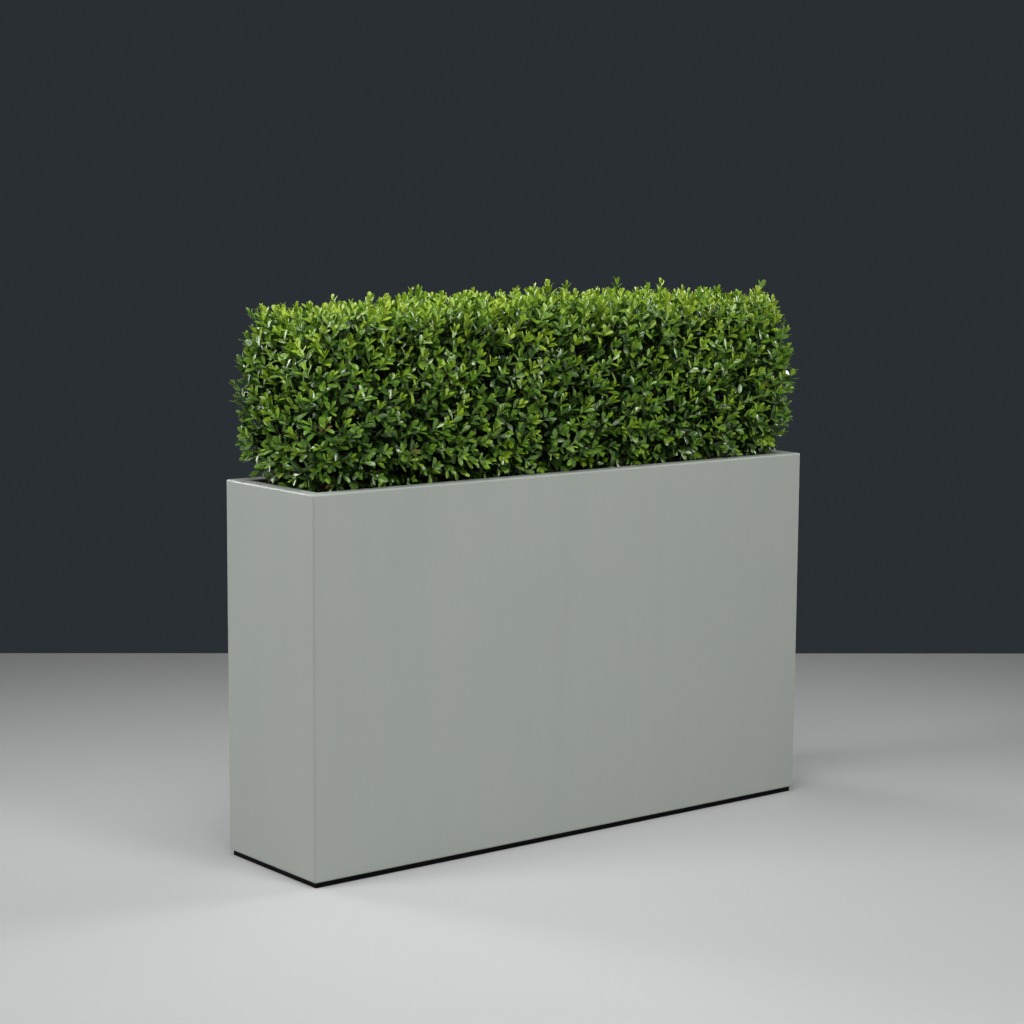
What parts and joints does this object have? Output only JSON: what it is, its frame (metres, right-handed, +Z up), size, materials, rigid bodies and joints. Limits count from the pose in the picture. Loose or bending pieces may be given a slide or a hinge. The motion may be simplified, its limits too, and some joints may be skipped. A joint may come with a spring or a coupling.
{
  "type": "potted boxwood hedge",
  "caption": "Clipped box hedge with rounded ends, growing in a tall, narrow rectangular trough planter that stands on a recessed plinth.",
  "frame": {"origin": "the middle of the plinth's flat underside, where the planter stands on the ground", "axes": "+Z up, +X along the trough's long side, +Y through its depth, away from the long face that is the front"},
  "size_m": [1.2231, 0.3186, 1.0611],
  "materials": {
    "sage_grey_paint": "satin",
    "black_plastic": "matte",
    "soil": "matte",
    "bark": "matte",
    "box_leaf": "satin"
  },
  "bodies": {
    "root": {"trough": "sage_grey_paint", "plinth": "black_plastic", "potting_soil": "soil", "stem_1": "bark", "foliage_1": "box_leaf", "stem_2": "bark", "foliage_2": "box_leaf", "stem_3": "bark", "foliage_3": "box_leaf", "stem_4": "bark", "foliage_4": "box_leaf", "stem_5": "bark", "foliage_5": "box_leaf"}
  },
  "joints": []
}
